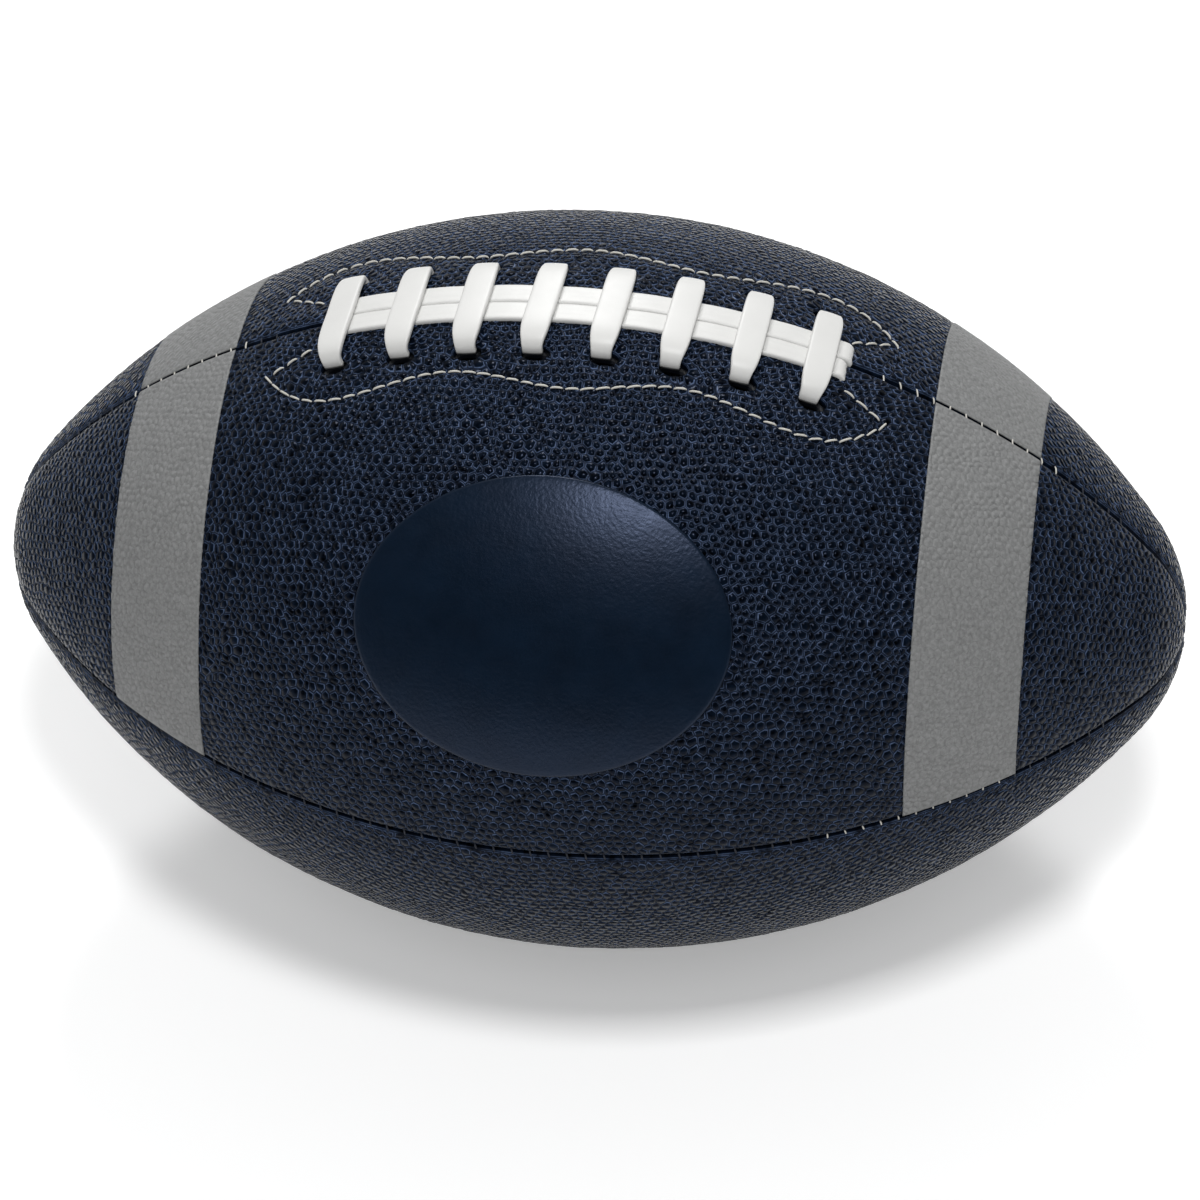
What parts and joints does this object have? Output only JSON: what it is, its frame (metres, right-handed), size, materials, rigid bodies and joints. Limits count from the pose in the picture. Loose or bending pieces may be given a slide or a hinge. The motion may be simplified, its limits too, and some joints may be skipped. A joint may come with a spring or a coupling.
{
  "type": "american football",
  "caption": "Prolate ball of sewn pebbled panels with raised white lacing, end stripes, cloth lining, inner bladder and a needle valve, made to be thrown and kicked.",
  "frame": {"origin": "centre of the ball, on its long axis at the middle of the girth", "axes": "+X along the long axis from tip to tip, +Z out through the laces, -Y out through the front side"},
  "size_m": [0.28, 0.175, 0.1778],
  "materials": {
    "pebbled_leather": "pebbled composite leather, satin",
    "smooth_leather": "smooth pressed leather, semi-gloss",
    "stripe_paint": "printed ink film, matt",
    "lace_vinyl": "satin vinyl strap",
    "sewing_thread": "waxed thread",
    "lining_cloth": "coated cotton cloth",
    "facing_cloth": "rubberised cloth",
    "bladder_rubber": "butyl rubber",
    "valve_rubber": "moulded rubber"
  },
  "bodies": {
    "root": {"bladder": "bladder_rubber", "facing_thread_back": "sewing_thread", "facing_thread_front": "sewing_thread", "lace": "lace_vinyl", "lace_facing_back": "facing_cloth", "lace_facing_front": "facing_cloth", "lace_tongue": "facing_cloth", "lining_lower_back": "lining_cloth", "lining_lower_front": "lining_cloth", "lining_upper_back": "lining_cloth", "lining_upper_front": "lining_cloth", "panel_lower_back": "pebbled_leather", "panel_lower_front": "pebbled_leather", "panel_upper_back": "pebbled_leather", "panel_upper_front": "pebbled_leather", "seam_thread_back": "sewing_thread", "seam_thread_bottom": "sewing_thread", "seam_thread_front": "sewing_thread", "seam_thread_top_left": "sewing_thread", "seam_thread_top_right": "sewing_thread", "smooth_patch": "smooth_leather", "stripe_left_back": "stripe_paint", "stripe_left_front": "stripe_paint", "stripe_right_back": "stripe_paint", "stripe_right_front": "stripe_paint", "valve_core": "valve_rubber", "valve_housing": "valve_rubber"}
  },
  "joints": []
}
